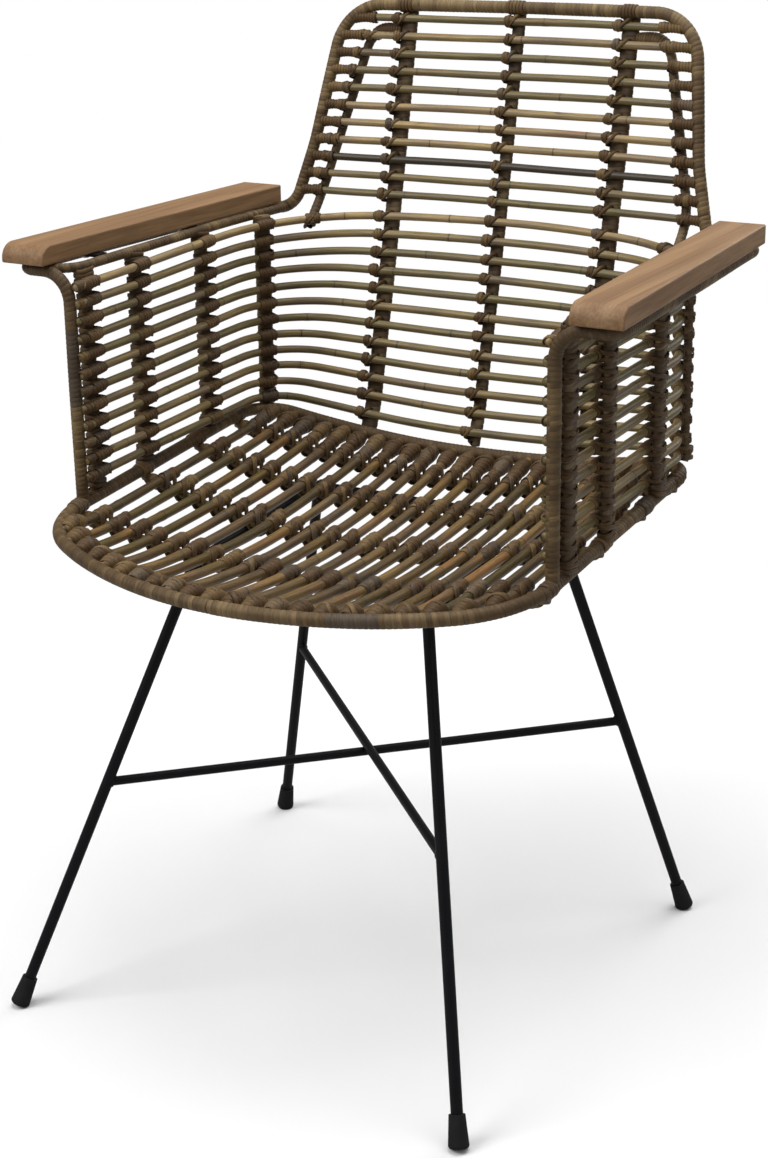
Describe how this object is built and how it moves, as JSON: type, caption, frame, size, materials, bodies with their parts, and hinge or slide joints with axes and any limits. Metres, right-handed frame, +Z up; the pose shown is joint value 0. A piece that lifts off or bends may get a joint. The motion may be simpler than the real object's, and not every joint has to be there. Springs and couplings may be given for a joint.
{
  "type": "rattan armchair",
  "caption": "Open-lattice rattan tub armchair with wooden armrest boards, on a splayed steel rod base.",
  "frame": {"origin": "middle of the overall box, on the floor under the feet", "axes": "+Z up, +X to the right for someone who looks at the chair's front (the sitter's left), -Y towards the front of the chair; left in a name is the -X side"},
  "size_m": [0.5804, 0.5553, 0.8327],
  "materials": {
    "rattan_cane": "satin peeled rattan cane",
    "stake_cane": "satin cane bound with strips",
    "wrapped_rod": "satin rod wrapped with fine cane strips",
    "armrest_wood": "matte, lightly oiled",
    "black_steel": "satin black paint",
    "screw_steel": "blackened",
    "foot_rubber": "matte"
  },
  "bodies": {
    "root": {"arm_loop_left": "wrapped_rod", "arm_loop_right": "wrapped_rod", "arm_rail_left": "wrapped_rod", "arm_rail_right": "wrapped_rod", "arm_stake_left_1": "stake_cane", "arm_stake_left_2": "stake_cane", "arm_stake_left_3": "stake_cane", "arm_stake_right_1": "stake_cane", "arm_stake_right_2": "stake_cane", "arm_stake_right_3": "stake_cane", "armrest_board_left": "armrest_wood", "armrest_board_right": "armrest_wood", "armrest_screws": "screw_steel", "armrest_tabs": "black_steel", "back_hoop": "wrapped_rod", "back_stake_centre": "stake_cane", "back_stake_left": "stake_cane", "back_stake_right": "stake_cane", "brace_lower": "black_steel", "brace_upper": "black_steel", "corner_stake_left": "stake_cane", "corner_stake_right": "stake_cane", "foot_cap_front_left": "foot_rubber", "foot_cap_front_right": "foot_rubber", "foot_cap_rear_left": "foot_rubber", "foot_cap_rear_right": "foot_rubber", "frame_front_bar": "black_steel", "frame_rear_bar": "black_steel", "frame_screws": "screw_steel", "frame_side_bar_left": "black_steel", "frame_side_bar_right": "black_steel", "frame_tabs": "black_steel", "leg_front_left": "black_steel", "leg_front_right": "black_steel", "leg_rear_left": "black_steel", "leg_rear_right": "black_steel", "seat_crossbar_1": "rattan_cane", "seat_crossbar_2": "rattan_cane", "seat_crossbar_3": "rattan_cane", "seat_crossbar_4": "rattan_cane", "seat_rim": "wrapped_rod", "seat_slats": "rattan_cane", "side_stake_left": "stake_cane", "side_stake_right": "stake_cane", "upper_back_canes": "rattan_cane", "wrap_cane_1": "rattan_cane", "wrap_cane_10": "rattan_cane", "wrap_cane_11": "rattan_cane", "wrap_cane_12": "rattan_cane", "wrap_cane_2": "rattan_cane", "wrap_cane_3": "rattan_cane", "wrap_cane_4": "rattan_cane", "wrap_cane_5": "rattan_cane", "wrap_cane_6": "rattan_cane", "wrap_cane_7": "rattan_cane", "wrap_cane_8": "rattan_cane", "wrap_cane_9": "rattan_cane"}
  },
  "joints": []
}
